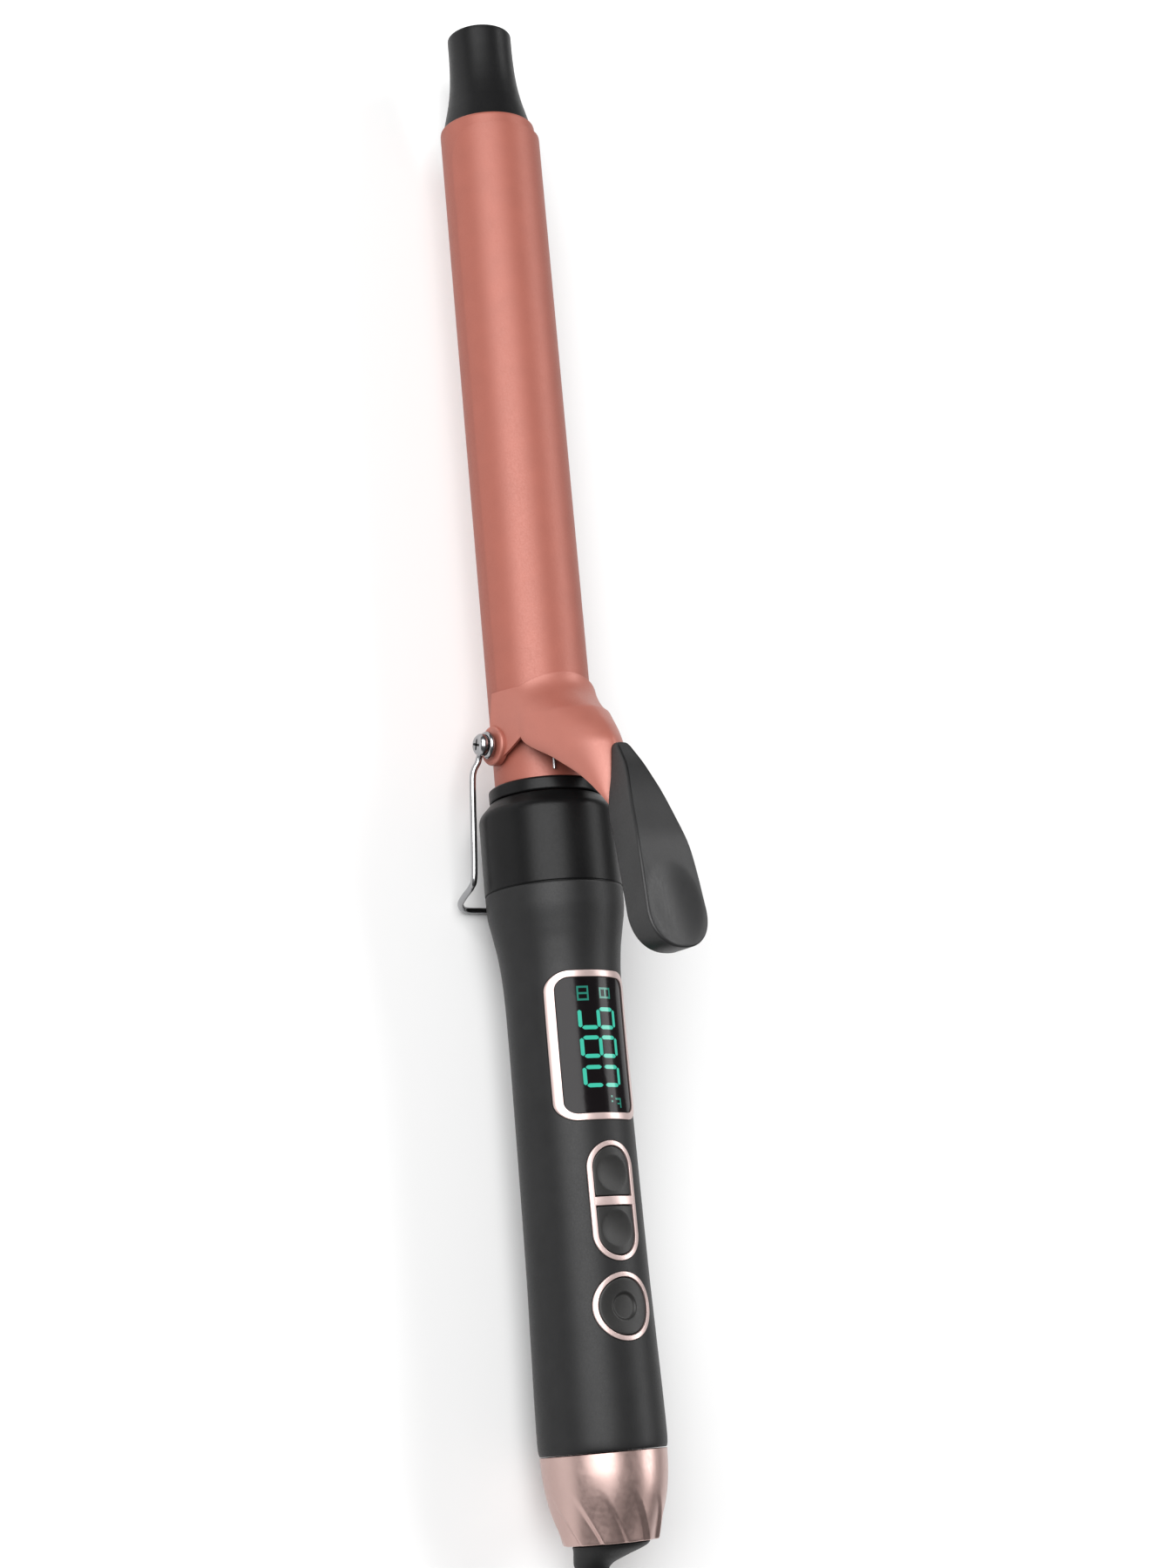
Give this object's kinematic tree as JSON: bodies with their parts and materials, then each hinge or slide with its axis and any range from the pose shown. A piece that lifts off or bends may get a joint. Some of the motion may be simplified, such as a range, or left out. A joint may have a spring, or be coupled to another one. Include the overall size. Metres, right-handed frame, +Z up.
{
  "type": "curling iron",
  "caption": "Digital curling iron: round heated barrel with a sprung clamp plate, thumb lever, folding wire stand and a handle with display, push buttons and cord swivel.",
  "frame": {"origin": "centre of the bounding box seen from above, on the surface that the folded stand's crosspiece touches", "axes": "+X from the handle to the cool tip along the barrel's axis, +Z up through the lever, display and buttons"},
  "size_m": [0.4026, 0.0392, 0.0724],
  "materials": {
    "rose_gold": "satin ceramic-coated rose gold",
    "rose_chrome": "polished rose chrome",
    "satin_black": "satin black moulded plastic",
    "soft_black": "soft-touch matte black",
    "display_glass": "glossy smoked window",
    "display_digits": "lit teal segments",
    "chrome": "bright plated steel",
    "aluminium": "extruded",
    "ceramic": "unglazed",
    "board": "green solder mask",
    "brass": "plain",
    "frame_plastic": "moulded nylon",
    "wire_sleeve": "woven glass-fibre sleeve"
  },
  "bodies": {
    "handle": {"barrel_tube": "rose_gold", "cool_tip": "satin_black", "tip_insulator": "ceramic", "heater_carrier_upper": "aluminium", "heater_carrier_lower": "aluminium", "heater_plate": "ceramic", "temperature_sensor": "ceramic", "barrel_holder": "ceramic", "collar_ring": "satin_black", "collar": "satin_black", "handle_sleeve": "soft_black", "display_bezel": "rose_chrome", "display_window": "display_glass", "display_module": "frame_plastic", "temperature_bezel": "rose_chrome", "power_bezel": "rose_chrome", "plus_switch": "frame_plastic", "minus_switch": "frame_plastic", "power_switch": "frame_plastic", "inner_tray": "frame_plastic", "circuit_board": "board", "board_screw_front": "chrome", "board_screw_rear": "chrome", "triac": "frame_plastic", "capacitor": "ceramic", "heater_lead_left": "wire_sleeve", "heater_lead_right": "wire_sleeve", "end_cap": "rose_chrome", "swivel_socket": "frame_plastic", "swivel_contact": "brass", "swivel_clip": "chrome", "clamp_spring": "chrome", "spring_pin": "chrome", "spring_lug_left": "chrome", "spring_lug_right": "chrome", "hinge_screw_left": "chrome", "hinge_screw_right": "chrome"},
    "clamp": {"clamp_plate": "rose_gold", "clamp_bracket": "rose_gold", "thumb_lever": "satin_black", "lever_screw_front": "chrome", "lever_screw_rear": "chrome"},
    "stand": {"wire_stand": "chrome"},
    "plus_button": {"plus_button": "soft_black"},
    "minus_button": {"minus_button": "soft_black"},
    "power_button": {"power_button": "soft_black"},
    "cord_swivel": {"swivel_boot": "satin_black"}
  },
  "joints": [
    {"name": "clamp_hinge", "type": "hinge", "parent": "handle", "child": "clamp", "pos_m": [0.00375, 0, 0.0201], "axis": [0, -1, 0], "range_deg": [0, 20], "stiffness_Nm_per_rad": 0.6, "springref_deg": -28.65, "deforming": ["clamp_spring"]},
    {"name": "stand_hinge", "type": "hinge", "parent": "handle", "child": "stand", "pos_m": [0.00375, 0, 0.0201], "axis": [0, -1, 0], "range_deg": [0, 90]},
    {"name": "plus_press", "type": "slide", "parent": "handle", "child": "plus_button", "axis": [0, 0, -1], "range_m": [0, 0.0006], "stiffness_N_per_m": 800},
    {"name": "minus_press", "type": "slide", "parent": "handle", "child": "minus_button", "axis": [0, 0, -1], "range_m": [0, 0.0006], "stiffness_N_per_m": 800},
    {"name": "power_press", "type": "slide", "parent": "handle", "child": "power_button", "axis": [0, 0, -1], "range_m": [0, 0.0006], "stiffness_N_per_m": 800},
    {"name": "swivel_turn", "type": "hinge", "parent": "handle", "child": "cord_swivel", "pos_m": [-0.19065, 0, 0.0201], "axis": [1, 0, 0], "continuous": true}
  ]
}
